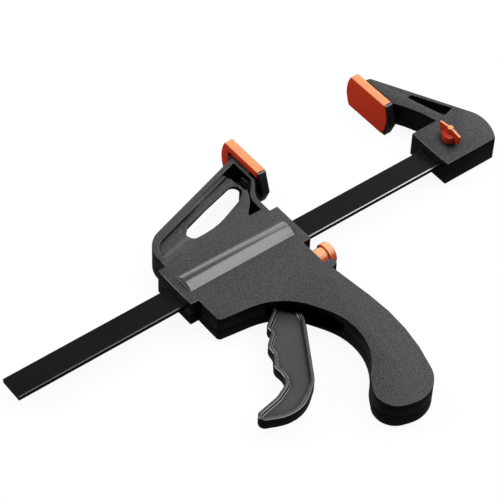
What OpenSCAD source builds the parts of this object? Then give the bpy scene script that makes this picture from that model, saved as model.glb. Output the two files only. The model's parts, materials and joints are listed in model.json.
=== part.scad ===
// Quick release bar clamp lying on its side.
// The bar runs along X, the pads reach towards +Y and the handle hangs towards -Y.
// Each sub-part is drawn about the bar's axis and then placed over the middle of the footprint.

/* [Bar] */
// Width of the flat steel bar
bar_w = 20; // [19:0.1:20.4]
// Thickness of the bar
bar_t = 4.5; // [4:0.1:5]
// Length of the bar
bar_l = 417.8; // [400:0.2:700]
// Chamfer along the bar's four long edges
bar_edge = 0.6; // [0.3:0.1:1]
// Free width between the two pads, as the clamp lies
opening = 114.9; // [80:0.1:200]

/* [Handle body] */
// Thickness of the moulded body across its two halves
body_t = 22; // [21.8:0.1:24]
// Length of the block that the bar runs through
block_l = 93.6; // [93:0.1:95]
// Height of the block's top above the bar's axis
block_top = 21.1; // [20.6:0.1:22]
// Depth of the block's corner below the bar's axis
block_low = 41.3; // [41:0.1:42]
// Length of each bar guide that stands out of the block
guide_l = 6.9; // [5:0.1:8]
// Depth of the bar guides below the bar's axis
guide_low = 18; // [16:0.1:19]
// Thickness of the moulded walls
wall = 3; // [2.6:0.1:3.2]
// Thickness of the two flat faces of the body
skin = 2.4; // [2.2:0.1:2.5]
// Height of the round spring tunnel above the flat faces
ridge_h = 3.7; // [3.6:0.1:4]
// Width of the hand that the grip and the trigger are shaped for
hand = 100; // [99.6:0.1:100.4]
// Nominal reach of the two jaws from the bar's axis
reach = 100; // [99:0.1:101]
// Width of the raised rim round the arm's recess
rim = 4.3; // [3.5:0.1:5]
// Width of the ledge between the rim and the recess's floor
ledge_w = 3.1; // [2.4:0.1:3.6]
// Depth of each step of the arm's recess
step_h = 1.5; // [1.2:0.1:1.8]
// Thickness of the web under the arm's recess
web_t = 1.8; // [1.6:0.1:2.4]

/* [Trigger] */
// Thickness of the trigger
trigger_t = 9.4; // [8:0.1:9.6]
// Width of the trigger's raised rim
trigger_rim = 3; // [2.4:0.1:3.2]
// Thickness of the trigger's web between the rims
trigger_web = 5; // [4:0.1:6]
// Distance of the trigger's pin from the middle of the block
pin_out = 4; // [3.8:0.1:4.2]
// Depth of the trigger's pin below the bar's axis
pin_low = 34; // [33.8:0.1:34.2]
// Diameter of the trigger's pin
pin_d = 5; // [4:0.1:5.4]
// Distance of the trigger's nose above its pin
nose_up = 15; // [14.8:0.1:15.1]
// Lean of the nose, in degrees, before the trigger is pulled
nose_lean = 12.5; // [12.3:0.1:12.7]

/* [Drive and brake] */
// Thickness of one drive plate
drive_t = 3; // [2.6:0.1:3.4]
// Thickness of the brake plate
brake_t = 3.5; // [3:0.1:3.7]
// Lean of the brake plate in degrees
brake_lean = 4.05; // [3.8:0.05:4.2]
// Wire diameter of the two springs
wire_d = 1.2; // [1:0.05:1.3]
// Curls of the drive spring
drive_curls = 8; // [6:1:10]
// Curls of the brake spring
brake_curls = 4; // [3:1:5]

/* [Release button] */
// Depth of the button below the bar's axis
button_low = 29.4; // [29.2:0.1:29.6]
// Diameter of the button's head
button_d = 17.4; // [16:0.1:17.8]
// Diameter of the button's stem
button_stem_d = 14; // [13:0.1:14.4]
// Thickness of the button's head
button_head = 5.9; // [4:0.1:7]
// Length of the stem outside the block
button_out = 10.55; // [9.8:0.05:12]

/* [Pads] */
// Height of a pad across the bar's flat side
pad_h = 29.5; // [29.4:0.1:31]
// Length of a pad along the jaw
pad_l = 47.6; // [46:0.1:49]
// Thickness of a pad
pad_t = 7.4; // [7:0.1:8]
// Radius of the pads' curved ends
pad_end_r = 29.2; // [28:0.1:31]
// Wall thickness of the soft caps
cap_wall = 2; // [1.6:0.1:2.2]
// Length of the carrier's end block, past the cap's open end
pad_stop = 4.2; // [3:0.1:5]

/* [Fixed jaw] */
// Thickness of the fixed jaw
jaw_t = 21.1; // [20.5:0.1:22]
// Thickness of the web in the fixed jaw's pocket
jaw_web = 3.6; // [3:0.1:5]
// Diameter of the clamp screw
screw_d = 8; // [7:0.1:8.4]
// Width of the wing grip
wing_w = 22.6; // [20:0.1:26]
// Height of the wing grip above the jaw
wing_h = 12.6; // [11:0.1:13]
// Diameter of the wing grip's hub
hub_d = 11.6; // [10:0.1:12]

/* [Hidden] */
$fn = 48;

// Arc steps, in degrees, along the rounded outlines
arc_step = 7.5;
// Free play between parts that move past each other
play = 0.3;
// Running fit between a pin and its bore, on the radius
run_fit = 0.05;
// Extra length of a cutting shape past the face that it opens
over = 1;

half_l = block_l / 2;
half_t = body_t / 2;
cave_z = half_t - skin;
tunnel_r = half_t + ridge_h - wall + play;
ridge_r = tunnel_r;
ridge_z = half_t + ridge_h - ridge_r;
cave_x = half_l - wall;
cave_top = block_top - 1.7 * wall;
ledge_z = half_t - step_h;
floor_z = half_t - 2 * step_h;

// Outlines: each row is a corner point and its radius, as shares of a driving size
grip_shares = [[0.487, -0.5, 0], [0.58, -1.239, 1.64], [0.366, -1.838, 0.248],
    [-0.105, -1.69, 0.161], [0.065, -1.414, 0.328], [0.38, -1.111, 0.486], [0.027, -0.48, 0.482]];
trigger_shares = [[-0.04, -0.36, 0], [-0.07, -0.518, 0], [-0.205, -0.61, 0.06],
    [-0.202, -0.668, 0.044], [-0.302, -0.75, 0.08], [-0.313, -0.83, 0.08], [-0.382, -0.925, 0.08],
    [-0.37, -1.072, 0.12], [-0.528, -1.142, 0.169], [-0.707, -1.173, 0.03],
    [-0.775, -1.234, 0.048], [-0.471, -1.372, 0.3], [-0.228, -1.187, 0.222],
    [0.079, -0.69, 0.3], [0.12, -0.36, 0]];
slot_shares = [[-0.098, -0.38, 0], [-0.098, -0.56, 0], [0.1, -0.92, 0], [0.3, -0.92, 0.04],
    [0.3, -0.38, 0]];
lug_shares = [[0.44, -0.415, 0], [0.54, -0.415, 0.01], [0.54, -0.482, 0.015], [0.44, -0.489, 0]];
arm_shares = [[-0.468, 0.468, 0.22], [0.57, 0.805, 0.015], [0.57, 0.52, 0.01], [0.468, 0.385, 0.14]];
hole_shares = [[-0.16, 0.39, 0.05], [-0.155, 0.305, 0.04], [0.06, 0.306, 0.6], [0.375, 0.432, 0.2],
    [0.426, 0.49, 0.03], [0.43, 0.602, 0.05], [-0.095, 0.456, 0.12]];
end_shares = [[0.455, 0.65, 0.04], [0.446, 0.485, 0.01], [0.489, 0.466, 0], [0.55, 0.54, 0.01]];
pit_shares = [[0.304, 0.257, 0.01], [0.423, 0.257, 0.01], [0.426, 0.4, 0.14], [0.489, 0.468, 0],
    [0.47, 0.48, 0], [0.403, 0.36, 0]];
jaw_shares = [[2.313, -0.195, 0], [2.386, -0.086, 0.353], [2.384, 0.08, 0.23],
    [1.968, 0.869, 0.032], [1.93, 0.876, 0], [1.93, 0.555, 0.01], [1.994, 0.456, 0.94],
    [2.082, 0.211, 0], [1.832, 0.211, 0], [1.832, -0.195, 0]];
pocket_shares = [[2.063, 0.535, 0.008], [2.105, 0.54, 0.008], [2.266, 0.243, 0.01],
    [2.173, 0.222, 0.01], [2.155, 0.235, 0.01]];
// Tip of each jaw, where its pad's carrier is seated, and its wall, as shares of the reach
tip_share = 0.57;
tip_wall_share = 0.02;
// Left ends of the arm's recess and of the hollow under its web
recess_share = -0.424;
under_share = -0.3;
// Where the web's free end leaves the rim, and how far past it the recess's cuts run in the opening
tab_share = 0.415;
past_share = 0.505;
// Corners of the recess's cuts that lie in the opening
floor_shares = [[-0.1, 0.33, 0], [0.4, 0.49, 0]];
under_shares = [[-0.1, 0.37, 0], [0.4, 0.5, 0]];
// The ledge sinks from the rim's level between these two places, and the floor between two lines
sink_shares = [-0.12, 0.15];
foot_share = 0.139;
brow_share = 0.229;
inner_share = 0.18;
jaw_tip_share = 1.93;
// Blunt point of a carrier's end block, as shares of the pad's length and height
point_shares = [[-0.455, 0.5], [-0.578, -0.1], [-0.483, -0.5]];
// Inner face of the jaw's block, its wing screw and the end of the bar's pocket
jaw_face_share = 1.832;
screw_share = 2.018;
pocket_end_share = 2.26;
// Middle of the pads and of the tongues that hold them
pad_mid_share = 0.736;
tongue_share = 0.66;
// Top edge of the arm: rise of its outer line over its run
arm_slope = (arm_shares[1][1] - arm_shares[0][1]) / (arm_shares[1][0] - arm_shares[0][0]);

// Middles of the screws, as shares of the hand's width: with bosses in the hollow, and in the solid arm
boss_shares = [[-0.38, -0.33], [0.4, -0.6], [0.42, -1.15], [0.2, -1.6]];
screw_shares = concat(boss_shares, [[-0.32, 0.25], [0.12, 0.26]]);
tap_d = 3;
tap_l = 15.6;
tap_head_d = 5.8;
tap_head_h = 2;
tap_seat = 2.4;

// Drive: the trigger's nose pushes the plates along the bar
nose_r = pin_d;
nose_x = pin_out + nose_up * sin(nose_lean);
nose_y = nose_up * cos(nose_lean) - pin_low;
eye_r = 1.6 * pin_d;
drive_x = nose_x - nose_r - play;
drive_low = 1.2 * bar_w;
drive_top = 0.7 * bar_w;
plate_z = cave_z - 2 * play;
slot_y = bar_w / 2 + play;
slot_z = bar_t / 2 + play;
spring_r = tunnel_r - play - wire_d / 2;

// Brake: the plate leans about its top end, against a stop rib
brake_x = half_l - 3.6 * wall;
brake_y = 0.65 * bar_w;
brake_low = 1.65 * bar_w;
brake_top = brake_y + 0.1 * bar_w;
brake_slot = (bar_w / 2 + brake_t / 2 * sin(brake_lean) + play) / cos(brake_lean);
rib_x = 0.65 * bar_w;
rib_t = 0.1 * bar_w;
brake_back = brake_x - brake_t / cos(brake_lean) + (brake_y - spring_r) * tan(brake_lean);

// Button: a head, a groove, a stem and a flange that stays behind the wall
button_r = button_d / 2;
button_stem_r = button_stem_d / 2;
button_flange_t = 0.75 * wall;
button_tip_r = button_stem_r / 2;
button_tip = brake_x + (brake_y + button_low) * tan(brake_lean) + play;
button_groove = 0.25 * wall;
button_round = 0.5 * wall;

// Pads and their carriers
pad_face = tip_share * reach + cap_gap() + pad_t;
jaw_x = jaw_shift() + jaw_face_share * reach;
pad_mid = pad_mid_share * reach;
tongue_l = tip_wall_share * reach;
tongue_z = 1.3 * wall;
tongue_half = 2.6 * wall;
stem_z = 0.29 * pad_h;
stem_half = 3.8 * wall;

// Frame: middle of the footprint, on the surface that the pads' ends lie on
x_low = bar_end() - bar_l;
x_high = max([for (p = jaw_points()) p[0]]);
y_low = min([for (p = grip_points()) p[1]]);
y_high = pad_mid + pad_l / 2;
z_low = -pad_h / 2;
lip_in = 0.2 * cap_wall;

function cap_gap() = 0.032 * reach;
function jaw_shift() = pad_face + opening + pad_t + cap_gap() - jaw_tip_share * reach;
function bar_end() = jaw_shift() + pocket_end_share * reach;
function unit(a) = a / norm(a);
function sized(shares, size) = [for (s = shares) s * size];
function turn(v) = sign(sum([for (i = [0 : len(v) - 1])
    cross(flat(v[i]), flat(v[(i + 1) % len(v)]))]));
function sum(a, i = 0) = i < len(a) ? a[i] + sum(a, i + 1) : 0;
function flat(row) = [row[0], row[1]];

// Points of one corner: an arc of radius r that touches both edges
function corner(p, before, after, r) = r <= 0 ? [p] :
    let (a = unit(before - p), b = unit(after - p), half = acos(a * b) / 2)
    let (c = p + unit(a + b) * r / sin(half), s = p + a * r / tan(half) - c)
    let (e = p + b * r / tan(half) - c, from = atan2(s[1], s[0]))
    let (sweep = sign(cross(s, e)) * (180 - 2 * half), steps = ceil(abs(sweep) / arc_step))
    [for (i = [0 : steps]) c + r * [cos(from + sweep * i / steps), sin(from + sweep * i / steps)]];

// Closed outline with rounded corners
function rounded(v) = [for (i = [0 : len(v) - 1])
    each corner(flat(v[i]), flat(v[(i + len(v) - 1) % len(v)]), flat(v[(i + 1) % len(v)]), v[i][2])];

// The same outline drawn in by w, with arcs about the same centres
function drawn_in(v, w) = let (way = turn(v)) [for (i = [0 : len(v) - 1])
    let (p = flat(v[i]))
    let (d1 = unit(p - flat(v[(i + len(v) - 1) % len(v)])), d2 = unit(flat(v[(i + 1) % len(v)]) - p))
    let (n1 = way * [-d1[1], d1[0]], n2 = way * [-d2[1], d2[0]], q = p + w * (n1 + n2) / (1 + n1 * n2))
    let (out = way * cross(d1, d2) > 0, r = v[i][2])
    [q[0], q[1], out ? max(r - w, 0) : (r > 0 ? r + w : 0)]];

// Block and grip in one outline
function grip_rows() = concat(sized(grip_shares, hand), [[-half_l, -block_low, wall + play],
    [-half_l, block_top, 0], [half_l, block_top, 0], [half_l, -block_low, 0]]);
function grip_points() = rounded(grip_rows());
function arm_rows() = concat([[-half_l, block_top - wall, 0]], sized(arm_shares, reach),
    [[half_l, block_top - wall, 0]]);
// A place on a line that runs along the arm's top edge, drop below it
function edge_point(x, drop, r) = let (base = arm_shares[0] * reach)
    [x, base[1] + arm_slope * (x - base[0]) - drop * norm([1, arm_slope]), r];
// Opening at the arm's tip, past the end of the web
function end_rows() = concat(sized(end_shares, reach),
    [edge_point(tip_share * reach - tongue_l, rim, 0.01 * reach), edge_point(tab_share * reach, rim, 0)]);
// Ledge inside the rim, floor inside the ledge, and hollow under the web
function ledge_rows() = let (left = sink_shares[0] * reach - wall, right = past_share * reach)
    [edge_point(left, rim + 2 * ledge_w, 0), edge_point(right, rim + 2 * ledge_w, 0),
    edge_point(right, rim, 0), edge_point(left, rim, 0)];
function floor_rows() = let (left = recess_share * reach, right = past_share * reach)
    concat([edge_point(left, 2 * foot_share * reach, 0)], sized(floor_shares, reach),
    [edge_point(right, inner_share * reach, 0), edge_point(right, rim + ledge_w, 0),
    edge_point(left, rim + ledge_w, 0.14 * reach)]);
function under_rows() = let (left = under_share * reach, right = past_share * reach)
    concat([[left, 0.4 * reach, 0.02 * reach]], sized(under_shares, reach),
    [edge_point(right, inner_share * reach, 0), edge_point(right, rim, 0),
    edge_point(left, rim, 0.03 * reach)]);
function jaw_points() = rounded([for (s = jaw_shares) s * reach + [jaw_shift(), 0, 0]]);

// Coil round the bar's axis, swept as rings of six points
coil_sides = 6;
coil_rings = 16;
function coil_at(t, curls, from, to) = let (a = 360 * curls * t)
    [from + (to - from) * t, spring_r * cos(a), spring_r * sin(a)];
function coil_ring(t, curls, from, to) = let (a = 360 * curls * t, o = coil_at(t, curls, from, to))
    let (out = [0, cos(a), sin(a)])
    let (along = unit([(to - from) / (2 * PI * curls * spring_r), -sin(a), cos(a)]))
    let (side = cross(along, out))
    [for (k = [0 : coil_sides - 1]) o + wire_d / 2 * (out * cos(360 * k / coil_sides)
        + side * sin(360 * k / coil_sides))];

module coil(curls, low, high) {
    from = low + wire_d / 2;
    to = high - wire_d / 2 - play;
    n = curls * coil_rings;
    points = [for (i = [0 : n]) each coil_ring(i / n, curls, from, to)];
    sides = [for (i = [0 : n - 1], k = [0 : coil_sides - 1])
        let (next = (k + 1) % coil_sides, here = i * coil_sides, ahead = here + coil_sides)
        each [[here + k, here + next, ahead + next], [here + k, ahead + next, ahead + k]]];
    first = [[for (k = [coil_sides - 1 : -1 : 0]) k]];
    last = [[for (k = [0 : coil_sides - 1]) n * coil_sides + k]];
    gap = min([for (i = [0 : n], j = [0 : n]) if (j - i > coil_rings / 2)
        norm(coil_at(j / n, curls, from, to) - coil_at(i / n, curls, from, to))]) - wire_d;
    echo(least_gap_between_curls = gap);
    polyhedron(points, concat(first, sides, last));
}

module place() {
    translate([-(x_low + x_high) / 2, -(y_low + y_high) / 2, -z_low])
        children();
}

// A bar-sized tunnel with its own free play
module bar_tunnel(from, to, free) {
    translate([from, -bar_w / 2 - free, -bar_t / 2 - free])
        cube([to - from, bar_w + 2 * free, bar_t + 2 * free]);
}

module slab(points, half) {
    translate([0, 0, -half])
        linear_extrude(2 * half)
            polygon(points);
}

module bar() {
    color("silver")
        place()
            translate([x_low, 0, 0])
                rotate([90, 0, 90])
                    linear_extrude(bar_l)
                        polygon(bar_section());
}

function bar_section() = let (w = bar_w / 2, t = bar_t / 2)
    [[w - bar_edge, -t], [w, bar_edge - t], [w, t - bar_edge], [w - bar_edge, t],
    [bar_edge - w, t], [-w, t - bar_edge], [-w, bar_edge - t], [bar_edge - w, -t]];

// Outer shape of the closed handle body
module casing_outside() {
    slab(grip_points(), half_t);
    slab(rounded(sized(lug_shares, hand)), half_t);
    slab(rounded(arm_rows()), half_t);
    translate([-half_l - guide_l, -guide_low, -half_t])
        cube([block_l + 2 * guide_l, guide_low + block_top, body_t]);
    for (side = [-1, 1])
        translate([-half_l + play, 0, side * ridge_z])
            rotate([0, 90, 0])
                cylinder(h = block_l - 2 * play, r = ridge_r, $fn = 96);
}

// Hollow inside: the flat chamber, the round spring tunnel and the trigger's slot
module casing_inside() {
    intersection() {
        slab(rounded(drawn_in(grip_rows(), wall)), cave_z);
        translate([-block_l, cave_top - 3 * hand, -body_t])
            cube([2 * block_l, 3 * hand, 2 * body_t]);
    }
    translate([-cave_x, 0, 0])
        rotate([0, 90, 0])
            cylinder(h = 2 * cave_x, r = tunnel_r, $fn = 96);
    slab(rounded(sized(slot_shares, hand)), trigger_t / 2 + play);
}

// Ribs and bosses that stand in the hollow
module casing_ribs() {
    translate([rib_x, -tunnel_r - play, -cave_z - play])
        cube([rib_t, tunnel_r + cave_top + 2 * play, 2 * cave_z + 2 * play]);
    translate([brake_x + play, bar_w / 2 + 4 * play, -cave_z - play])
        cube([wall, cave_top - bar_w / 2 - 3 * play, 2 * cave_z + 2 * play]);
    for (s = boss_shares)
        translate([s[0] * hand, s[1] * hand, -cave_z - play])
            cylinder(h = 2 * cave_z + 2 * play, r = tap_head_d / 2 + 3 * play);
    for (side = [0, 1])
        mirror([0, 0, side])
            translate([pin_out, -pin_low, trigger_t / 2 + play])
                cylinder(h = cave_z - trigger_t / 2, r = 1.2 * pin_d);
}

// Turns a shape so that its first axis runs along the arm's top edge
module on_arm_edge() {
    translate([arm_shares[0][0] * reach, arm_shares[0][1] * reach, 0])
        rotate([0, 0, atan(arm_slope)])
            children();
}

// Recess in the arm's upper face: a ledge, a floor that rises to the block, and a deep pit by the rim
module arm_recess() {
    s1 = (sink_shares[0] - arm_shares[0][0]) * reach;
    s2 = (sink_shares[1] - arm_shares[0][0]) * reach;
    foot = foot_share * reach;
    brow = brow_share * reach;
    sink_over = 2 * over * (s2 - s1) / step_h;
    brow_over = over * (brow - foot) / step_h;
    difference() {
        translate([0, 0, ledge_z])
            linear_extrude(2 * step_h)
                polygon(rounded(ledge_rows()));
        on_arm_edge()
            rotate([90, 0, 0])
                translate([0, 0, -reach])
                    linear_extrude(2 * reach)
                        polygon([[-reach, ledge_z - over], [-reach, half_t + 2 * over],
                            [s1 - sink_over, half_t + 2 * over], [s2, ledge_z], [s2, ledge_z - over]]);
    }
    difference() {
        translate([0, 0, floor_z])
            linear_extrude(3 * step_h)
                polygon(rounded(floor_rows()));
        on_arm_edge()
            rotate([90, 0, 90])
                translate([0, 0, -reach])
                    linear_extrude(3 * reach)
                        polygon([[-reach, floor_z - over], [-foot, floor_z - over], [-foot, floor_z],
                            [-brow - brow_over, half_t + 2 * over], [-reach, half_t + 2 * over]]);
    }
    translate([0, 0, skin - half_t])
        linear_extrude(body_t)
            polygon(rounded(sized(pit_shares, reach)));
}

// Hollow under the arm's thin web, open below
module arm_hollow() {
    translate([0, 0, -half_t - over])
        linear_extrude(half_t + floor_z - web_t + over)
            polygon(rounded(under_rows()));
}

module casing() {
    difference() {
        union() {
            difference() {
                casing_outside();
                casing_inside();
            }
            casing_ribs();
        }
        bar_tunnel(-half_l - guide_l - over, half_l + guide_l + over, play);
        slab(rounded(sized(hole_shares, reach)), half_t + over);
        slab(rounded(end_rows()), half_t + over);
        arm_recess();
        arm_hollow();
        translate([cave_x - over, -button_low, 0])
            rotate([0, 90, 0])
                cylinder(h = wall + 2 * over, r = button_stem_r + play);
        translate([pin_out, -pin_low, 0])
            cylinder(h = 2 * (cave_z + pin_seat()), r = pin_d / 2, center = true);
        translate([tip_share * reach - tongue_l, tongue_mid() - tongue_half, -tongue_z])
            cube([tongue_l + over, 2 * tongue_half, 2 * tongue_z]);
        screw_holes();
    }
}

function pin_seat() = 0.6 * skin;
function tongue_mid() = tongue_share * reach;

// Seats for the screws' heads, free holes below the joint and tapped holes above it
module screw_holes() {
    for (s = screw_shares)
        translate([s[0] * hand, s[1] * hand, 0]) {
            translate([0, 0, -half_t - over])
                cylinder(h = tap_seat + over, r = tap_head_d / 2 + play);
            translate([0, 0, -half_t])
                cylinder(h = half_t, r = tap_d / 2 + play);
            cylinder(h = tap_l + tap_seat - half_t + play, r = tap_d / 2);
        }
}

module half_space() {
    translate([-2 * block_l, -3 * hand, 0])
        cube([4 * block_l, 6 * hand, body_t]);
}

module casing_upper() {
    color("dimgray")
        place()
            intersection() {
                casing();
                half_space();
            }
}

module casing_lower() {
    color("dimgray")
        place()
            intersection() {
                casing();
                mirror([0, 0, 1])
                    half_space();
            }
}

module casing_screws() {
    color("gray")
        place()
            for (s = screw_shares)
                translate([s[0] * hand, s[1] * hand, tap_seat - half_t - tap_head_h]) {
                    cylinder(h = tap_head_h, r = tap_head_d / 2);
                    cylinder(h = tap_head_h + tap_l, r = tap_d / 2);
                }
}

module trigger() {
    rows = sized(trigger_shares, hand);
    deep = (trigger_t - trigger_web) / 2;
    arm = 0.72 * nose_r;
    color("dimgray")
        place()
            difference() {
                union() {
                    slab(rounded(rows), trigger_t / 2);
                    translate([pin_out, -pin_low, 0]) {
                        cylinder(h = trigger_t, r = eye_r, center = true);
                        rotate([0, 0, -nose_lean])
                            translate([-arm, 0, -trigger_t / 2])
                                cube([2 * arm, nose_up, trigger_t]);
                    }
                    translate([nose_x, nose_y, 0])
                        cylinder(h = trigger_t, r = nose_r, center = true);
                }
                translate([pin_out, -pin_low, 0])
                    cylinder(h = trigger_t + 2 * over, r = pin_d / 2 + run_fit, center = true);
                for (side = [-1, 1])
                    translate([0, 0, side * (trigger_web + deep + over) / 2])
                        intersection() {
                            slab(rounded(drawn_in(rows, trigger_rim)), (deep + over) / 2);
                            translate([-hand, -2.44 * hand, -trigger_t])
                                cube([2 * hand, 2 * hand, 2 * trigger_t]);
                        }
            }
}

module trigger_pin() {
    color("silver")
        place()
            translate([pin_out, -pin_low, 0])
                cylinder(h = 2 * (cave_z + pin_seat()), r = pin_d / 2, center = true);
}

// Slotted plate that stands across the bar; its +X face is the plane x = 0
module slotted_plate(thick, low, top, slot) {
    difference() {
        translate([-thick, -low, -plate_z])
            cube([thick, low + top, 2 * plate_z]);
        translate([-thick - over, -slot, -slot_z])
            cube([thick + 2 * over, 2 * slot, 2 * slot_z]);
    }
}

module drive_plate_front() {
    color("gray")
        place()
            translate([drive_x, 0, 0])
                slotted_plate(drive_t, drive_low, drive_top, slot_y);
}

module drive_plate_back() {
    color("gray")
        place()
            translate([drive_x - drive_t, 0, 0])
                slotted_plate(drive_t, drive_low, drive_top, slot_y);
}

module drive_spring() {
    color("silver")
        place()
            coil(drive_curls, -cave_x, drive_x - 2 * drive_t);
}

module brake_plate() {
    color("gray")
        place()
            translate([brake_x, brake_y, 0])
                rotate([0, 0, brake_lean])
                    translate([0, -brake_y, 0])
                        slotted_plate(brake_t, brake_low, brake_top, brake_slot);
}

module brake_spring() {
    color("silver")
        place()
            coil(brake_curls, rib_x + rib_t, brake_back);
}

module release_button() {
    back = half_l + button_out;
    flange = cave_x - play;
    rows = [[0, button_tip, 0], [button_tip_r, button_tip, 0], [button_tip_r, flange - button_flange_t, 0],
        [button_stem_r + 4 * play, flange - button_flange_t, 0], [button_stem_r + 4 * play, flange, 0],
        [button_stem_r, flange, 0], [button_stem_r, back - button_groove, 0],
        [button_stem_r - 2 * play, back - button_groove, 0], [button_stem_r - 2 * play, back, 0],
        [button_r, back, play], [button_r, back + button_head, button_round], [0, back + button_head, 0]];
    color("orange")
        place()
            translate([0, -button_low, 0])
                rotate([0, 90, 0])
                    rotate_extrude($fn = 96)
                        polygon(rounded(rows));
}

// Pad outline, with its length along the first axis: straight sides and two curved ends
module pad_outline(draw_in) {
    off = pad_l / 2 - pad_end_r;
    intersection() {
        square([pad_l, pad_h - 2 * draw_in], center = true);
        translate([off, 0])
            circle(pad_end_r - draw_in, $fn = 96);
        translate([-off, 0])
            circle(pad_end_r - draw_in, $fn = 96);
    }
}

// A slice of the pad, from depth a to depth b behind its pressing face at x = 0
module pad_slice(a, b, draw_in) {
    translate([-b, 0, 0])
        rotate([90, 0, 90])
            linear_extrude(b - a)
                pad_outline(draw_in);
}

// Soft cap: pressing wall, side walls and back lips, open at the end near the bar
module cap() {
    difference() {
        pad_slice(0, pad_t, 0);
        difference() {
            pad_slice(cap_wall, pad_t - cap_wall, cap_wall);
            translate([-pad_t - over, pad_l / 2 - cap_wall, -pad_h])
                cube([pad_t + 2 * over, pad_l, 2 * pad_h]);
        }
        translate([-pad_t - over, -pad_l, -pad_h])
            cube([pad_t - cap_wall + over, pad_l / 2 + pad_stop, 2 * pad_h]);
        translate([-pad_t - over, -pad_l, -stem_z])
            cube([pad_t - cap_wall + over, pad_l + stem_half + 2 * cap_wall, 2 * stem_z]);
    }
}

// End block: it stops the cap, stands out past it in a blunt point and wraps its pressing wall
module end_block() {
    stop = pad_stop - pad_l / 2;
    difference() {
        translate([-pad_t, 0, 0])
            rotate([90, 0, 90])
                linear_extrude(pad_t - lip_in)
                    polygon(concat([[stop, -pad_h / 2], [stop, pad_h / 2]],
                        [for (s = point_shares) [s[0] * pad_l, s[1] * pad_h]]));
        pad_slice(-over, cap_wall, 0);
    }
}

// Carrier: slide plate, end block, neck and the tongue that is seated in the jaw's tip
module carrier(gap) {
    intersection() {
        union() {
            intersection() {
                pad_slice(cap_wall, pad_t - cap_wall, cap_wall);
                translate([-pad_t, -pad_l, -pad_h])
                    cube([pad_t, 1.5 * pad_l - cap_wall, 2 * pad_h]);
            }
            end_block();
            translate([-pad_t - gap, -stem_half, -stem_z])
                cube([gap + cap_wall + over, 2 * stem_half, 2 * stem_z]);
            translate([-pad_t - gap - tongue_l, tongue_mid() - pad_mid - tongue_half, -tongue_z])
                cube([tongue_l + over, 2 * tongue_half, 2 * tongue_z]);
        }
        translate([-2 * pad_l, -2 * pad_l, -pad_h])
            cube([4 * pad_l, 4 * pad_l, 2 * pad_h]);
    }
}

module on_moving_jaw() {
    translate([pad_face, pad_mid, 0])
        children();
}

module on_fixed_jaw() {
    translate([pad_face + opening, pad_mid, 0])
        mirror([1, 0, 0])
            children();
}

module moving_pad_carrier() {
    color("black")
        place()
            on_moving_jaw()
                carrier(cap_gap());
}

module moving_pad() {
    color("orangered")
        place()
            on_moving_jaw()
                cap();
}

module fixed_pad_carrier() {
    color("black")
        place()
            on_fixed_jaw()
                carrier(cap_gap());
}

module fixed_pad() {
    color("orangered")
        place()
            on_fixed_jaw()
                cap();
}

nut_r = 0.94 * screw_d;
nut_h = 0.6 * screw_d;
nut_z = bar_t / 2 + 0.25 * screw_d;
screw_x = jaw_shift() + screw_share * reach;
knob_z = jaw_t / 2 + play;

module fixed_jaw() {
    color("dimgray")
        place()
            difference() {
                slab(jaw_points(), jaw_t / 2);
                bar_tunnel(jaw_x - over, bar_end(), 0);
                for (side = [-1, 1])
                    translate([jaw_shift(), 0, side * (jaw_t + jaw_web) / 2])
                        slab(rounded(sized(pocket_shares, reach)), jaw_t / 2);
                translate([jaw_shift() + jaw_tip_share * reach - over, tongue_mid() - tongue_half, -tongue_z])
                    cube([tongue_l + over, 2 * tongue_half, 2 * tongue_z]);
                translate([screw_x, 0, 0])
                    cylinder(h = jaw_t, r = screw_d / 2 + play);
                translate([screw_x, 0, 0])
                    cylinder(h = nut_z + nut_h, r = nut_r, $fn = 6);
            }
}

module clamp_nut() {
    color("gray")
        place()
            translate([screw_x, 0, nut_z])
                difference() {
                    cylinder(h = nut_h, r = nut_r, $fn = 6);
                    translate([0, 0, -over])
                        cylinder(h = nut_h + 2 * over, r = screw_d / 2 + run_fit);
                }
}

// The shank stops a hair above the bar and is moulded into the wing grip
module clamp_screw() {
    color("silver")
        place()
            translate([screw_x, 0, bar_t / 2 + play])
                cylinder(h = knob_z + 0.5 * hub_h() - bar_t / 2 - play, r = screw_d / 2);
}

function hub_h() = 0.5 * wing_h;

module wing_knob() {
    thin = 0.13 * wing_h;
    boss = 0.2 * hub_d;
    color("orange")
        place()
            translate([screw_x, 0, knob_z])
                difference() {
                    union() {
                        cylinder(h = hub_h(), r = hub_d / 2);
                        cylinder(h = wing_h - play, r = boss);
                        rotate([90, 0, 90])
                            translate([0, 0, -thin / 2])
                                linear_extrude(thin)
                                    polygon(wing_points());
                    }
                    translate([0, 0, -over])
                        cylinder(h = 0.5 * hub_h() + over, r = screw_d / 2);
                }
}

// Wing: upright ends, slanted in to the hub below
function wing_points() = let (w = wing_w / 2, h = wing_h - 3 * play)
    rounded([[-hub_d / 2.4, play, 0], [hub_d / 2.4, play, 0], [w - play, 0.3 * h, wall / 3],
    [w, 0.9 * h, wall / 4], [w / 4, h, 0], [-w / 4, h, 0], [-w, 0.9 * h, wall / 4],
    [play - w, 0.3 * h, wall / 3]]);

bar();
casing_upper();
casing_lower();
casing_screws();
trigger();
trigger_pin();
drive_plate_front();
drive_plate_back();
drive_spring();
brake_plate();
brake_spring();
release_button();
moving_pad_carrier();
moving_pad();
fixed_jaw();
fixed_pad_carrier();
fixed_pad();
clamp_nut();
clamp_screw();
wing_knob();
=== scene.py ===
# %% [markdown]
# # A quick release bar clamp
# The clamp lies on its side on a white table. A flat steel bar carries a fixed jaw at one end, and a
# moulded handle slides along it. The handle holds the trigger, the release button and the moving jaw.
# The solids of every part come from the packed model. This script gives them the rounded edges and the
# finishes that the real clamp has, and then lights and frames it.

# %% Load the packed model
import json
import math

import bpy
from mathutils import Matrix, Vector


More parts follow.
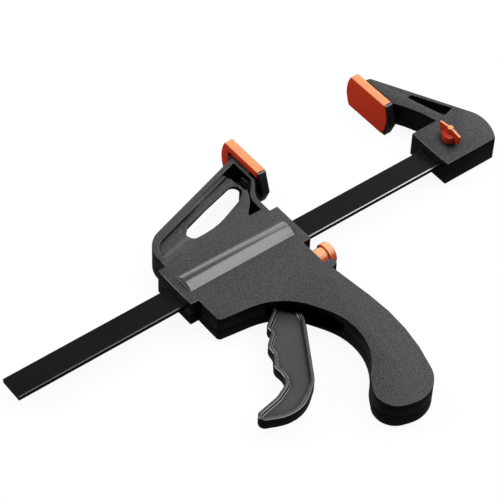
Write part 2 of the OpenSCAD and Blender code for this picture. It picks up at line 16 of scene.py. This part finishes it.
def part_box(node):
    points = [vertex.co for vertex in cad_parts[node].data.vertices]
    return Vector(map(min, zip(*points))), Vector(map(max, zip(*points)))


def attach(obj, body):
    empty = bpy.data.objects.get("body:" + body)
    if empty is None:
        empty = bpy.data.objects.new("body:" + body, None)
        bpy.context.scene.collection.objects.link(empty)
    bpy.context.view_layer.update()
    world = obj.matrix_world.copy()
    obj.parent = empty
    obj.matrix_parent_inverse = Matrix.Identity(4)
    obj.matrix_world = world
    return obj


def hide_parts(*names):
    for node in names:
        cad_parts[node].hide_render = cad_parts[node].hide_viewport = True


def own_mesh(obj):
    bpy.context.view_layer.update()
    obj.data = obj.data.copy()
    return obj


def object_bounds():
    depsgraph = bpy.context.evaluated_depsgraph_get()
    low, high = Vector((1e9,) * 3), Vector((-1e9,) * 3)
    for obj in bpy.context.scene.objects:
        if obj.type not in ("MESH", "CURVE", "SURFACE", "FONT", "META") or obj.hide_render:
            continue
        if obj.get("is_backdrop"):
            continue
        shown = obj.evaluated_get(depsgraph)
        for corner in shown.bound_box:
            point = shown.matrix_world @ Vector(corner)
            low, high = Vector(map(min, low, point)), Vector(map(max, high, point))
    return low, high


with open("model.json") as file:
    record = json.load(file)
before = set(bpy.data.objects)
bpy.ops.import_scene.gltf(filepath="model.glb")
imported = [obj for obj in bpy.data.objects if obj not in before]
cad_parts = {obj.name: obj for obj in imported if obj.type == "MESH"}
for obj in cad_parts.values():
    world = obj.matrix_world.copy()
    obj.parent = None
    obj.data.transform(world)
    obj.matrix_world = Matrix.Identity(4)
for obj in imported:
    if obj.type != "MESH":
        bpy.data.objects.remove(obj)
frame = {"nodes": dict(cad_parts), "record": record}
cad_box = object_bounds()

MM = 0.001
nodes = frame["nodes"]
print("nodes", len(nodes), "box in mm", [round(v / MM, 1) for v in cad_box[1] - cad_box[0]])

# %% [markdown]
# Everything is placed from the packed solids. The bar's middle line is the best reference, because the
# handle, the jaw and the springs are all built round it. The handle is 22 mm thick, so its flat faces
# lie 11 mm from that line, and later the finishes use this height to tell a face from a pocket.

# %% Reference lines
FACE_HEIGHT = 11 * MM

bar_low, bar_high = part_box("bar")
axis_z = (bar_low.z + bar_high.z) / 2

# %% [markdown]
# The camera stands to the left, in front and above. It could be moved by eye until the clamp looks
# right. Instead, its place and direction were worked out from the bar's straight edges and known width,
# so the clamp falls where it should with no further fitting.

# %% Camera
LENS = 151.28                                       # focal length in mm
FILM_WIDTH = 36                                     # mm
CLIP = (0.05, 20)                                   # nearest and farthest metre that is drawn
CAMERA_PLACE = Vector((-0.65691, -0.74736, 1.13091))
LOOK = Vector((0.42931, 0.52346, -0.73599))
RIGHT = Vector((0.79171, -0.61026, 0.02778))


def aim_camera():
    data = bpy.data.cameras.new("camera")
    data.lens = LENS
    data.sensor_width = FILM_WIDTH
    data.clip_start, data.clip_end = CLIP
    camera = bpy.data.objects.new("camera", data)
    back = -LOOK.normalized()
    up = back.cross(RIGHT).normalized()
    turned = Matrix((up.cross(back), up, back)).transposed().to_4x4()
    camera.matrix_world = Matrix.Translation(CAMERA_PLACE) @ turned
    bpy.context.scene.collection.objects.link(camera)
    bpy.context.scene.camera = camera
    return camera


print("camera", [round(v, 3) for v in aim_camera().location])

# %% [markdown]
# Finishes are node graphs. They could be wired by hand, one link at a time, but a sum of three masks
# then takes a page. A small class wraps a socket instead, so that shader maths reads as plain sums and
# products, and one method adds any other node.

# %% Sockets that can be added and multiplied


class Socket:
    def __init__(self, graph, socket):
        self.graph = graph
        self.socket = socket

    def math(self, kind, other, swap=False):
        pair = (other, self) if swap else (self, other)
        return self.graph.add("ShaderNodeMath", {"operation": kind}, {0: pair[0], 1: pair[1]})

    def __add__(self, other):
        return self.math("ADD", other)

    def __radd__(self, other):
        return self.math("ADD", other, True)

    def __sub__(self, other):
        return self.math("SUBTRACT", other)

    def __rsub__(self, other):
        return self.math("SUBTRACT", other, True)

    def __mul__(self, other):
        return self.math("MULTIPLY", other)

    def __rmul__(self, other):
        return self.math("MULTIPLY", other, True)

    def above(self, other):
        return self.math("GREATER_THAN", other)

    def larger(self, other):
        return self.math("MAXIMUM", other)

    def size(self):
        return self.graph.add("ShaderNodeMath", {"operation": "ABSOLUTE"}, {0: self})

    def ramp(self, low, high):
        """Smooth step from 0 to 1 as the value goes from low to high."""
        return self.graph.add("ShaderNodeMapRange", {"interpolation_type": "SMOOTHSTEP"},
                              {"Value": self, "From Min": low, "From Max": high})

    def beside(self, name):
        """Another output of the same node."""
        return Socket(self.graph, self.socket.node.outputs[name])


print("a socket knows", [name for name in vars(Socket) if not name.startswith("_")])

# %% [markdown]
# A graph adds nodes: first their settings, because these decide which sockets a node has, then the
# values or links of its sockets. It serves the finishes, the table and the surroundings alike.

# %% A graph that adds any node


class Graph:
    def __init__(self, tree):
        self.tree = tree

    def put(self, socket, value):
        if isinstance(value, Socket):
            self.tree.links.new(value.socket, socket)
        else:
            socket.default_value = value

    def add(self, kind, settings=None, inputs=None, output=0):
        node = self.tree.nodes.new(kind)
        for key, value in (settings or {}).items():
            setattr(node, key, value)
        for key, value in (inputs or {}).items():
            self.put(node.inputs[key], value)
        return Socket(self, node.outputs[output])


print("a graph knows", [name for name in vars(Graph) if not name.startswith("_")])

# %% [markdown]
# A finish is a graph that ends in one glossy surface. What is the same all over is set on the surface
# itself, and only what varies is linked to it. All patterns are laid in the object's own coordinates,
# so they stay on the piece when it moves. Three masks come up again and again. `height` is the distance
# from the bar's middle plane, `flatness` is 1 where the surface lies flat and 0 where it stands
# upright, and `openness_for_painted_shade` is 1 in the open and lower in corners, where it is used to
# paint shade.

# %% A finish for one material
SHADE_RAYS = 8


class Finish(Graph):
    def __init__(self, name, **fixed):
        self.material = bpy.data.materials.new(name)
        self.material.use_nodes = True
        super().__init__(self.material.node_tree)
        self.shader = self.tree.nodes["Principled BSDF"]
        self.wear(**fixed)
        self.where = self.add("ShaderNodeTexCoord", output="Object")
        self.facing = self.where.beside("Normal")

    @staticmethod
    def title(socket):
        return socket.replace("_", " ").title().replace("Ior", "IOR")

    def wear(self, **values):
        """Sets or links sockets of the surface, by their names in small letters."""
        for socket, value in values.items():
            self.put(self.shader.inputs[self.title(socket)], value)
        return self.material

    def split(self, vector):
        x = self.add("ShaderNodeSeparateXYZ", {}, {0: vector})
        return x, x.beside("Y"), x.beside("Z")

    def height(self):
        return (self.split(self.where)[2] - axis_z).size()

    def flatness(self):
        return self.split(self.facing)[2].size()

    # An occlusion mask, used to paint shade into the colour in corners.
    def openness_for_painted_shade(self, reach):
        return self.add("ShaderNodeAmbientOcclusion", {"samples": SHADE_RAYS},
                        {"Distance": reach}, "AO")

    def stretched(self, scale):
        return self.add("ShaderNodeMapping", {}, {"Vector": self.where, "Scale": scale})

    def noise(self, scale, detail=2.0, roughness=0.5, vector=None):
        return self.add("ShaderNodeTexNoise", {}, {"Vector": vector or self.where, "Scale": scale,
                                                   "Detail": detail, "Roughness": roughness})

    def blend(self, factor, first, second):
        return self.add("ShaderNodeMix", {"data_type": "RGBA"},
                        {"Factor": factor, "A": first, "B": second}, "Result")

    def bump(self, height, distance, strength):
        return self.add("ShaderNodeBump", {}, {"Height": height, "Distance": distance,
                                               "Strength": strength})


print("a finish knows", [name for name in vars(Finish) if not name.startswith("_")])

# %% [markdown]
# The mouldings are black plastic, whose grey has a faint cold tint. Their rounded edges catch the light
# as bright lines. An edge could be found with a bevel node, but the solids get real round edges below,
# so the lean of the surface is enough: on a rounded edge it is neither upright nor flat.

# %% Black plastic's grey, and its rounded edges
COLD_TINT = 1.03


def grey_of(value):
    return (value, value, COLD_TINT * value, 1)


def rounded_edge(f, upright, flat):
    """1 on a rounded edge. Both pairs say over which flatness the mask comes in and goes out."""
    lean = f.flatness()
    return lean.ramp(*upright) * (1 - lean.ramp(*flat))


print("a mid grey of the plastic", grey_of(0.5))

# %% [markdown]
# The flat faces of the grey mouldings are spark eroded: sparks have pitted the mould, and the plastic
# shows a fine pale speckle. One noise looks too even for that. So two sizes of noise are made crisp by
# a ramp each and added up, and a slow noise makes patches that are a little paler or darker.

# %% Speckle
COARSE_GRAIN, FINE_GRAIN, CLOUDS = 900, 1900, 28    # waves per metre
COARSE_STEP, COARSE_SHARE = (0.34, 0.66), 0.6
FINE_STEP, FINE_SHARE = (0.35, 0.65), 0.4
CLOUD_SHARE, DARKER_BY = 0.25, 0.12


def speckle(coarse, fine, cloud):
    """How pale each speck is."""
    grain = coarse.ramp(*COARSE_STEP) * COARSE_SHARE + fine.ramp(*FINE_STEP) * FINE_SHARE
    return grain + cloud * CLOUD_SHARE - DARKER_BY


print("specks %.1f and %.1f mm apart" % (1 / COARSE_GRAIN / MM, 1 / FINE_GRAIN / MM))

# %% [markdown]
# The grey mouldings have two finishes from one mould. The flat faces are speckled, but the upright
# sides and the pockets slide out of the mould, so they are smooth. The faces are painted paler and the
# sides and pockets nearly black. This is partly the two finishes, and partly painted light on the tops
# and painted shade on the sides and in the pockets. The polished ridge over the spring has only a trace
# of the speckle, and towards corners the faces are painted darker, as painted shade. The ridge and the
# outer edges get a clear coat, which makes their highlights crisp while the faces stay matt. All this
# could be painted on an unfolded mesh, but masks that read the surface need no unfolding and follow
# every later change of shape.

# %% Grey moulding
# Painted light and shade: the face grey is paler partly as painted light on the tops. The side grey,
# also used in the pockets, is nearly black partly as painted shade.
FACE_GREY_PARTLY_PAINTED_LIGHT, SIDE_GREY_PARTLY_PAINTED_SHADE = 0.032, 0.003
SPECKS = (0.2, 2.0)                                 # darkest and palest speck, as shares of the face
RIDGE_GREY = (0.02, 0.06)
# Painted shade: the reach, and the openness over which corners are painted darker.
PAINTED_SHADE_REACH, PAINTED_CORNER_SHADE = 9 * MM, (0.5, 0.93)
FLAT_FACE = (0.86, 0.985)                           # flatness over which the eroded face comes in
POCKET_RIM = (FACE_HEIGHT - 5 * MM, FACE_HEIGHT - 4 * MM)
RIDGE_FOOT = (FACE_HEIGHT + 0.1 * MM, FACE_HEIGHT + 0.35 * MM)
EDGE_IN, EDGE_OUT, EDGE_COAT = (0.3, 0.5), (0.9, 0.97), 0.7
SMOOTH, ERODED, PATCHY = 0.24, 0.18, 0.08           # roughness of the sides, and what adds to it
RIDGE_POLISH = 0.6                                  # how much of the relief the ridge loses


def grey_moulding(name):
    f = Finish(name, specular_ior_level=0.27, coat_roughness=0.2, coat_ior=1.8)
    outside = f.height().ramp(*POCKET_RIM)
    face = f.flatness().ramp(*FLAT_FACE) * outside
    ridge = f.height().ramp(*RIDGE_FOOT)
    edge = rounded_edge(f, EDGE_IN, EDGE_OUT) * outside * EDGE_COAT
    coarse = f.noise(COARSE_GRAIN, detail=2, roughness=0.55)
    fine = f.noise(FINE_GRAIN, detail=1)
    cloud = f.noise(CLOUDS, detail=3)
    tone = speckle(coarse, fine, cloud)
    grained = f.blend(tone, *(grey_of(share * FACE_GREY_PARTLY_PAINTED_LIGHT) for share in SPECKS))
    # Painted shade: in corners the faces fade to the near-black grey.
    clear_of_painted_shade = f.openness_for_painted_shade(PAINTED_SHADE_REACH).ramp(*PAINTED_CORNER_SHADE)
    # Faces outside the pockets take the pale speckled grey, which is partly painted light. Sides and
    # pockets take the near-black grey, which is partly painted shade.
    colour = f.blend(face * clear_of_painted_shade, grey_of(SIDE_GREY_PARTLY_PAINTED_SHADE), grained)
    colour = f.blend(ridge, colour, f.blend(tone, *map(grey_of, RIDGE_GREY)))
    rough = SMOOTH + face * ERODED + cloud * PATCHY
    relief = (coarse + fine) * face * (1 - ridge * RIDGE_POLISH)
    relief = f.bump(relief, distance=0.2 * MM, strength=0.7)
    return f.wear(base_color=colour, roughness=rough, coat_weight=ridge.larger(edge), normal=relief)


grey = grey_moulding("grey_moulding")
print("finish", grey.name, "nodes", len(grey.node_tree.nodes))

# %% [markdown]
# The trigger is cast in a polished mould, because fingers slide on it. It has the same grey face with
# hardly any grain, painted paler than its near-black sides as on the handle. This is partly its finish
# and partly painted light and shade. Its coated rim catches the light. It could share the handle's
# finish, but beside the handle its face is painted darker, as painted shade where the handle stands
# over it and keeps the light away. So it has a finish of its own, whose corners are painted darker over
# a longer reach.

# %% Trigger moulding
# Painted light and shade: the face grey is paler partly as painted light, and the side grey is nearly
# black partly as painted shade.
TRIGGER_FACE_GREY_PARTLY_PAINTED_LIGHT, TRIGGER_SIDE_GREY_PARTLY_PAINTED_SHADE = (0.036, 0.05), 0.004
TRIGGER_GRAIN, TRIGGER_CLOUDS = 1800, 45            # waves per metre
TRIGGER_FLAT = (0.93, 0.995)
# Painted shade: the reach, and the openness over which the face beside the handle and in corners is
# painted darker.
TRIGGER_PAINTED_SHADE_REACH, TRIGGER_PAINTED_SHADE = 18 * MM, (0.8, 0.98)
RIM_IN, RIM_OUT = (0.2, 0.4), (0.96, 0.995)
SLIPPERY, WORN, HANDLED = 0.2, 0.3, 0.06            # roughness of the sides, and what adds to it


def trigger_moulding(name):
    f = Finish(name, specular_ior_level=0.35, coat_roughness=0.15, coat_ior=1.9)
    face = f.flatness().ramp(*TRIGGER_FLAT)
    rim = rounded_edge(f, RIM_IN, RIM_OUT)
    cloud = f.noise(TRIGGER_CLOUDS, detail=3)
    grain = f.noise(TRIGGER_GRAIN, detail=2)
    # Painted shade beside the handle and in corners.
    clear_of_painted_shade = f.openness_for_painted_shade(TRIGGER_PAINTED_SHADE_REACH).ramp(*TRIGGER_PAINTED_SHADE)
    pale = f.blend(cloud, *map(grey_of, TRIGGER_FACE_GREY_PARTLY_PAINTED_LIGHT))
    colour = f.blend(face * clear_of_painted_shade, grey_of(TRIGGER_SIDE_GREY_PARTLY_PAINTED_SHADE), pale)
    rough = SLIPPERY + face * WORN + cloud * HANDLED
    return f.wear(base_color=colour, roughness=rough, coat_weight=rim,
                  normal=f.bump(grain, distance=0.02 * MM, strength=0.4))


trigger_grey = trigger_moulding("trigger_moulding")
print("finish", trigger_grey.name, "nodes", len(trigger_grey.node_tree.nodes))

# %% [markdown]
# The carriers behind the pads are satin black all over, with a finer grain. Only their outer edges are
# coated. A coat on every edge is simpler, but then edges deep beside the arm glint white as well.

# %% Black moulding
CARRIER_BLACK = (0.005, 0.01)
CARRIER_GRAIN, CARRIER_CLOUDS = 2200, 40            # waves per metre
OUTER_EDGES = (FACE_HEIGHT - 2 * MM, FACE_HEIGHT)
BLACK_IN, BLACK_OUT = (0.25, 0.5), (0.9, 0.99)
SATIN, GRAINY = 0.2, 0.12                           # roughness, and what the grain adds to it


def black_moulding(name):
    f = Finish(name, specular_ior_level=0.45, coat_roughness=0.12, coat_ior=2.0)
    grain = f.noise(CARRIER_GRAIN, detail=2, roughness=0.6)
    colour = f.blend(f.noise(CARRIER_CLOUDS, detail=2), *map(grey_of, CARRIER_BLACK))
    edge = rounded_edge(f, BLACK_IN, BLACK_OUT) * f.height().ramp(*OUTER_EDGES)
    return f.wear(base_color=colour, roughness=SATIN + grain * GRAINY, coat_weight=edge,
                  normal=f.bump(grain, distance=0.02 * MM, strength=0.5))


black = black_moulding("black_moulding")
print("finish", black.name, "nodes", len(black.node_tree.nodes))

# %% [markdown]
# The button and the wing grip are glossy orange, and the pads are a softer, redder orange with a matt
# skin. Their top faces are painted paler, as a painted sheen of the light that falls on them. The tops
# could be picked face by face, but a mask of the surface's direction fits all pieces at once. The wing
# grip also needs its height, so that the painted sheen lies only on the wing's top and not on its round
# foot.

# %% Orange mouldings
# Painted sheen: the upward direction over which the tops are painted paler.
PAINTED_SHEEN_UPWARD = (0.5, 0.97)                                # upward direction over which the top turns pale
SIDE_DIP = 0.8                                      # darkest cloud on the sides, as a share
ORANGE_GRAIN, ORANGE_CLOUDS = 1500, 60              # waves per metre
EVERYWHERE = -1.0                                   # a height below the whole clamp, in metres
FOOT_SHARE = 0.6                                    # of the wing grip's height is its round foot


def orange_moulding(name, side, top, roughness, from_height=EVERYWHERE):
    f = Finish(name, specular_ior_level=0.4)
    # Painted sheen: tops above the given height are painted paler.
    painted_top_sheen = f.split(f.facing)[2].ramp(*PAINTED_SHEEN_UPWARD) * f.split(f.where)[2].above(from_height)
    cloud = f.noise(ORANGE_CLOUDS, detail=3)
    grain = f.noise(ORANGE_GRAIN, detail=2, roughness=0.6)
    mottled = f.blend(cloud, tuple(SIDE_DIP * v for v in side) + (1,), side + (1,))
    return f.wear(base_color=f.blend(painted_top_sheen, mottled, top + (1,)),
                  roughness=roughness + cloud * PATCHY,
                  normal=f.bump(grain, distance=0.03 * MM, strength=0.5))


wing_low, wing_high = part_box("wing_knob")
wing_foot = wing_low.z + FOOT_SHARE * (wing_high.z - wing_low.z)
# The side colours are the orange itself, and the top colours are the painted sheen.
orange = orange_moulding("orange_moulding", side=(0.7, 0.12, 0.035), top=(0.82, 0.37, 0.17),
                         roughness=0.2)
wing_orange = orange_moulding("wing_orange", side=(0.5, 0.03, 0.008), top=(0.85, 0.33, 0.14),
                              roughness=0.16, from_height=wing_foot)
soft_orange = orange_moulding("soft_orange", side=(0.78, 0.05, 0.013), top=(0.68, 0.27, 0.105),
                              roughness=0.42)
# Above this height the wing's top takes the painted sheen.
print("the wing turns pale above z %.1f mm" % (wing_foot / MM))

# %% [markdown]
# The bar is rolled flat steel, oiled dark. Rolling leaves fine lines along its length, which are one
# noise stretched a hundredfold. Its broken edges are bare and bright where the sliding handle rubs
# them, and towards the fixed jaw they are painted brighter still, as a painted highlight. They could be
# painted by hand, but only the edges lean, so the lean of the surface is the mask.

# %% Bar steel
ROLLED = (10, 1300, 1300)                           # waves per metre along, across and through the bar
STAINS = 22                                         # waves per metre
OILED, BARE = (0.003, 0.009), (0.08, 0.5)
BARE_IN, BARE_OUT, BARE_METAL = (0.2, 0.4), (0.85, 0.97), 0.9
OIL_FILM, OIL_STAIN = 0.24, 0.06                    # roughness, and what the stains add to it
# Painted highlight: the span along the bar over which the bare edges are painted brighter.
PAINTED_HIGHLIGHT_SPAN, PAINTED_HIGHLIGHT_SHARE = (-0.15, 0.2), 0.8            # metres along the bar, and its part in the tone


def bar_steel(name):
    f = Finish(name, specular_ior_level=0.15)
    bare = rounded_edge(f, BARE_IN, BARE_OUT)
    lines = f.noise(1.0, detail=3, roughness=0.6, vector=f.stretched(ROLLED))
    stain = f.noise(STAINS, detail=3, roughness=0.6)
    dark = f.blend(lines * 0.5 + stain * 0.5, *map(grey_of, OILED))
    # Painted highlight along the bar, mixed with the rolling lines.
    painted_highlight_and_lines = f.split(f.where)[0].ramp(*PAINTED_HIGHLIGHT_SPAN) * PAINTED_HIGHLIGHT_SHARE + lines * (1 - PAINTED_HIGHLIGHT_SHARE)
    bright = f.blend(painted_highlight_and_lines, *map(grey_of, BARE))
    relief = f.bump(lines * (1 - bare), distance=0.01 * MM, strength=0.4)
    return f.wear(base_color=f.blend(bare, dark, bright), metallic=bare * BARE_METAL,
                  roughness=OIL_FILM + stain * OIL_STAIN, normal=relief)


dark_steel = bar_steel("bar_steel")
print("finish", dark_steel.name, "nodes", len(dark_steel.node_tree.nodes))

# %% [markdown]
# The plates, pins, springs and screws are plain steel parts, mostly hidden in the handle. Each could
# have a finish of its own, but one brushed finish in three tones is enough for what is seen of them:
# hardened plates are dull, spring wire is brighter and zinc plating is the palest.

# %% Small steel parts
BRUSHED, STEEL_CLOUDS = (900, 60, 900), 90          # waves per metre
BRUSH_SHARE = 0.6
BRUSH_DIP = 0.72                                    # darkest line, as a share of the tone
TARNISH = 0.15                                      # roughness that the clouds add


def plain_steel(name, tone, roughness):
    f = Finish(name)
    lines = f.noise(1.0, detail=2, roughness=0.6, vector=f.stretched(BRUSHED))
    cloud = f.noise(STEEL_CLOUDS, detail=3)
    dull = tuple(BRUSH_DIP * v for v in tone)
    mixed = lines * BRUSH_SHARE + cloud * (1 - BRUSH_SHARE)
    colour = f.blend(mixed, dull + (1,), tone + (1,))
    return f.wear(base_color=colour, metallic=1.0, roughness=roughness + cloud * TARNISH,
                  normal=f.bump(lines, distance=0.01 * MM, strength=0.5))


plate_steel = plain_steel("plate_steel", tone=(0.4, 0.4, 0.41), roughness=0.38)
spring_steel = plain_steel("spring_steel", tone=(0.55, 0.55, 0.55), roughness=0.28)
zinc_steel = plain_steel("zinc_steel", tone=(0.66, 0.66, 0.64), roughness=0.3)
print("finishes so far", len(bpy.data.materials))

# %% [markdown]
# A real moulding has no knife edges. Edges could be rounded in the shader alone, but then the outline
# stays sharp. So each packed solid is copied and the copy is made ready for a real bevel: its loose
# triangles are merged, and flat areas are joined into single faces.

# %% Merged copies of the solids
MERGE_WITHIN = 0.004 * MM
FLAT_WITHIN = math.radians(0.5)


def only(piece):
    """Selects one piece and nothing else."""
    bpy.ops.object.select_all(action="DESELECT")
    piece.select_set(True)
    bpy.context.view_layer.objects.active = piece


def merged_copy(node):
    piece = bpy.data.objects.new(node + "_finished", nodes[node].data.copy())
    bpy.context.scene.collection.objects.link(piece)
    only(piece)
    bpy.ops.object.mode_set(mode="EDIT")
    bpy.ops.mesh.select_all(action="SELECT")
    bpy.ops.mesh.remove_doubles(threshold=MERGE_WITHIN)
    bpy.ops.mesh.dissolve_limited(angle_limit=FLAT_WITHIN)
    bpy.ops.object.mode_set(mode="OBJECT")
    return piece


print("points closer than %.3f mm are merged" % (MERGE_WITHIN / MM))

# %% [markdown]
# Only the sharp edges are bevelled. The bevel can pick them by an angle of its own, but weights allow
# more: each edge's angle is measured and kept as a bevel weight, and at the seam, where the two halves
# of the handle meet, the weight is smaller, which leaves the seam's fine line.

# %% Soft edges
SHARPER_THAN = math.radians(28)
SMOOTH_BELOW = math.radians(32)
SEAM_WITHIN = 0.01 * MM
SEAM_WEIGHT = 0.25


def edge_angles(mesh):
    """Angle between the two faces of every edge."""
    sides = {}
    for face in mesh.polygons:
        for key in face.edge_keys:
            sides.setdefault(key, []).append(face.normal)
    pairs = [sides.get(edge.key, []) for edge in mesh.edges]
    return [pair[0].angle(pair[1], 0) if len(pair) == 2 else 0 for pair in pairs]


def weigh_edges(mesh, seam_z):
    weights = mesh.attributes.new("bevel_weight_edge", "FLOAT", "EDGE")
    for edge, angle in zip(mesh.edges, edge_angles(mesh)):
        if angle < SHARPER_THAN:
            continue
        away = [abs(mesh.vertices[i].co.z - seam_z) for i in edge.vertices]
        weights.data[edge.index].value = SEAM_WEIGHT if max(away) < SEAM_WITHIN else 1.0


def soften(piece, width, steps, seam_z):
    weigh_edges(piece.data, seam_z)
    bevel = piece.modifiers.new("soft edges", "BEVEL")
    bevel.width = width
    bevel.segments = steps
    bevel.limit_method = "WEIGHT"
    bevel.use_clamp_overlap = False
    only(piece)
    bpy.ops.object.modifier_apply(modifier=bevel.name)
    bpy.ops.object.shade_smooth_by_angle(angle=SMOOTH_BELOW)


print("edges sharper than %.0f degrees are rounded" % math.degrees(SHARPER_THAN))

# %% [markdown]
# A finished copy takes its material, rides on the body that its solid belongs to and then stands in for
# it. The body could be typed in here, but the packed record already says it, so it is read from there.
# Large mouldings have small radii, and soft pads and the part that fingers pull have wide ones.

# %% Copies that replace their solids
NO_SEAM = math.inf                                  # a height that no edge comes near

body_of = {node: body for body, group in frame["record"]["behaviour"]["bodies"].items()
           for node in group}
softened = {                                        # width in mm, steps, material, height of seam
    "casing_upper": (0.45, 2, grey, axis_z),
    "casing_lower": (0.45, 2, grey, axis_z),
    "trigger": (0.8, 3, trigger_grey, NO_SEAM),
    "fixed_jaw": (0.45, 2, grey, NO_SEAM),
    "moving_pad_carrier": (0.6, 3, black, NO_SEAM),
    "fixed_pad_carrier": (0.6, 3, black, NO_SEAM),
    "moving_pad": (0.7, 3, soft_orange, NO_SEAM),
    "fixed_pad": (0.7, 3, soft_orange, NO_SEAM),
    "wing_knob": (0.3, 2, wing_orange, NO_SEAM),
}


def finish_with(piece, material):
    piece.data.materials.clear()
    piece.data.materials.append(material)


def stand_in(piece, node, material):
    finish_with(piece, material)
    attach(piece, body_of[node])
    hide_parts(node)


for node, (width, steps, material, seam_z) in softened.items():
    piece = merged_copy(node)
    soften(piece, width * MM, steps, seam_z)
    stand_in(piece, node, material)
    print(node, "faces", len(piece.data.polygons))

# %% [markdown]
# The drive spring sits between the handle's wall and the two plates. When the trigger pulls the plates,
# they press it shorter. Left alone it would stay long and the plates would cut through it. Its copy
# gets a mesh of its own, and the share of its length that the plates' stroke leaves is worked out, but
# the copy is not squeezed. Wire is round, so it is shaded smooth.

# %% Drive spring
WIRE_SMOOTH_BELOW = math.radians(50)

spring_low, spring_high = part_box("drive_spring")
spring_length = spring_high.x - spring_low.x
joints = {joint["name"]: joint for joint in frame["record"]["behaviour"]["joints"]}
stroke = joints["drive_step"]["range_m"][1]
spring = merged_copy("drive_spring")
bpy.ops.object.shade_smooth_by_angle(angle=WIRE_SMOOTH_BELOW)
stand_in(spring, "drive_spring", spring_steel)
1 - stroke / spring_length
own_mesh(spring)
print("drive spring %.1f mm long, pressed by %.1f mm" % (spring_length / MM, stroke / MM))

# %% [markdown]
# The remaining solids are already right in shape: the bar and the button have their broken edges in the
# solid, and the small steel parts are turned, punched or coiled. They keep their own mesh and only take
# a finish.

# %% Finishes on the packed solids
plain = {"bar": dark_steel, "release_button": orange, "trigger_pin": zinc_steel,
         "drive_plate_front": plate_steel, "drive_plate_back": plate_steel,
         "brake_plate": plate_steel, "brake_spring": spring_steel, "clamp_nut": zinc_steel,
         "clamp_screw": zinc_steel, "casing_screws": zinc_steel}
for node, material in plain.items():
    finish_with(nodes[node], material)
print("plain solids", len(plain))

# %% [markdown]
# The table and the background are pure white, with only a faint shadow under the clamp. More light
# would whiten the table but spoil the black plastic. Instead, the camera sees the table as a mix of a
# glowing white and a little real paint, and the paint keeps the shadow. To other rays the table is dull
# and dark, so that it doesn't light the black sides from below, and reflections see a small share of
# the white.

# %% Table
WHITE_SHARE = 0.92                                  # glowing white in what the camera sees
GLOSS_SHARE = 0.05                                  # of the white that reflections see
SEEN_PAINT = (0.9, 0.9, 0.9, 1)
UNSEEN_PAINT = (0.04, 0.04, 0.04, 1)
TABLE_SIZE = 6                                      # metres
TABLE_DROP = 0.4 * MM                               # so that it doesn't touch the clamp's lowest faces


def seen_white(graph):
    """1 for the camera and through clear things, and a small share in reflections."""
    camera = graph.add("ShaderNodeLightPath", output="Is Camera Ray")
    glossy = camera.beside("Is Glossy Ray") * GLOSS_SHARE
    return camera + glossy + camera.beside("Is Transmission Ray")


def table_finish():
    material = bpy.data.materials.new("table")
    material.use_nodes = True
    graph = Graph(material.node_tree)
    graph.tree.nodes.remove(graph.tree.nodes["Principled BSDF"])
    white = graph.add("ShaderNodeEmission")
    seen = graph.add("ShaderNodeBsdfDiffuse", {}, {"Color": SEEN_PAINT})
    unseen = graph.add("ShaderNodeBsdfDiffuse", {}, {"Color": UNSEEN_PAINT})
    camera = graph.add("ShaderNodeLightPath", output="Is Camera Ray")
    dull = graph.add("ShaderNodeMixShader", {}, {0: camera, 1: unseen, 2: seen})
    share = seen_white(graph) * WHITE_SHARE
    glow = graph.add("ShaderNodeMixShader", {}, {0: share, 1: dull, 2: white})
    graph.put(graph.tree.nodes["Material Output"].inputs["Surface"], glow)
    return material


bpy.ops.object.select_all(action="DESELECT")
bpy.ops.mesh.primitive_plane_add(size=TABLE_SIZE, location=(0, 0, -TABLE_DROP))
floor = bpy.context.object
floor.name = "table"
floor.data.materials.append(table_finish())
floor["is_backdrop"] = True
print("table", [round(v, 2) for v in floor.dimensions])

# %% [markdown]
# The clamp is lit as in a small studio, and each lamp was placed for one thing that it has to draw. A
# large panel in front, above and to the right lights the flat faces and draws the bright streak on the
# ridge's near flank. A low strip behind draws the ridge's far flank and the far edges. A lamp behind on
# the left draws lines on the trigger's rim and shows the pads' colour, and a low strip on the right
# marks the grip's right edges. One lamp for all would be simpler, but polished black plastic shows
# little else than the lamps that it mirrors.

# %% Lamps
LAMPS = (                                           # place, way of the width, width, height, watts
    ("top panel", (0.50, -0.30, 1.16), (1, 0, 0), 1.5, 1.9, 25),
    ("back strip", (0.72, 1.02, 0.40), (1, -0.7, 0), 1.6, 0.9, 6.4),
    ("left lamp", (-0.75, 0.72, 0.78), (0, 1, 0), 0.7, 1.0, 11),
    ("right strip", (1.35, 0.18, 0.26), (0, 1, 0), 0.9, 0.4, 4),
)


def lamp(name, place, across, width, height, power):
    """A rectangular lamp that looks at the clamp, with its width along the direction across."""
    data = bpy.data.lights.new(name, "AREA")
    data.shape = "RECTANGLE"
    data.size, data.size_y = width, height
    data.energy = power
    back = Vector(place).normalized()
    side = (Vector(across) - Vector(across).dot(back) * back).normalized()
    turned = Matrix((side, back.cross(side), back)).transposed().to_4x4()
    holder = bpy.data.objects.new(name, data)
    holder.matrix_world = Matrix.Translation(place) @ turned
    bpy.context.scene.collection.objects.link(holder)
    print(name, "%.2f m away" % Vector(place).length)


for settings in LAMPS:
    lamp(*settings)

# %% [markdown]
# The surroundings are white for the camera and almost dark for everything else, for the same reason as
# the table: a white room would turn the black sides grey.

# %% Surroundings
DIM = 0.02
WHITE = (1, 1, 1, 1)


def surroundings():
    world = bpy.data.worlds.new("surroundings")
    bpy.context.scene.world = world
    world.use_nodes = True
    graph = Graph(world.node_tree)
    strength = graph.add("ShaderNodeMapRange", {}, {"Value": seen_white(graph), "To Min": DIM})
    back = graph.tree.nodes["Background"]
    graph.put(back.inputs["Strength"], strength)
    graph.put(back.inputs["Color"], WHITE)


surroundings()
bpy.context.scene.view_settings.view_transform = "Standard"
print("the surroundings light the clamp with a strength of", DIM)

# %% [markdown]
# The dressed clamp is measured like the packed model, and the growth of its box over the packed one is
# printed.

# %% Growth of the clamp's box
full_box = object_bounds()
grown = (full_box[1] - full_box[0]) - (cad_box[1] - cad_box[0])
print("grown by mm", [round(v / MM, 2) for v in grown])
